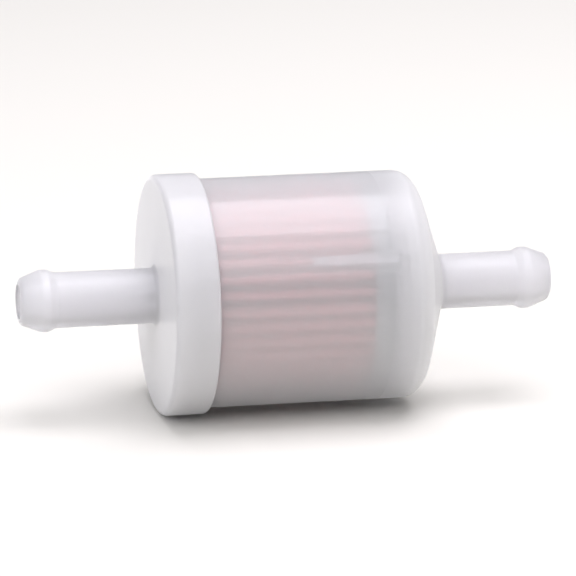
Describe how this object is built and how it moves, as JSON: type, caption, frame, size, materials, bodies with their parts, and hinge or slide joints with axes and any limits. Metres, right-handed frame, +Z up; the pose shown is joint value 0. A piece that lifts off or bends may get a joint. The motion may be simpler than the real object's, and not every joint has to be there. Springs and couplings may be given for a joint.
{
  "type": "inline fuel filter",
  "caption": "Round inline fuel filter with a milky see-through cup, a welded end cap, a hose barb at each end and a pleated paper ring inside.",
  "frame": {"origin": "on the flow axis, midway between the tips of the two hose barbs, which is the centre of the bounding box", "axes": "+X along the flow axis from the end cap (outlet) towards the housing's barb (inlet); +Z up and +Y complete a right-handed frame, and the outside is the same all round"},
  "size_m": [0.0636, 0.0283, 0.0282],
  "materials": {
    "clear_nylon": "milky translucent moulded nylon, smooth and softly glossy",
    "cap_nylon": "the same nylon, whiter where it lies in two layers",
    "inner_nylon": "satin moulded nylon",
    "grey_nylon": "satin moulded nylon, greyer",
    "filter_paper": "fibrous pinkish resin-treated paper",
    "glue": "set hot-melt glue"
  },
  "bodies": {
    "root": {"housing": "clear_nylon", "end_cap": "cap_nylon", "pleated_paper": "filter_paper", "core_tube": "inner_nylon", "open_end_cup": "inner_nylon", "closed_end_cup": "grey_nylon", "open_end_glue": "glue", "closed_end_glue": "glue", "seam_glue": "glue"}
  },
  "joints": []
}
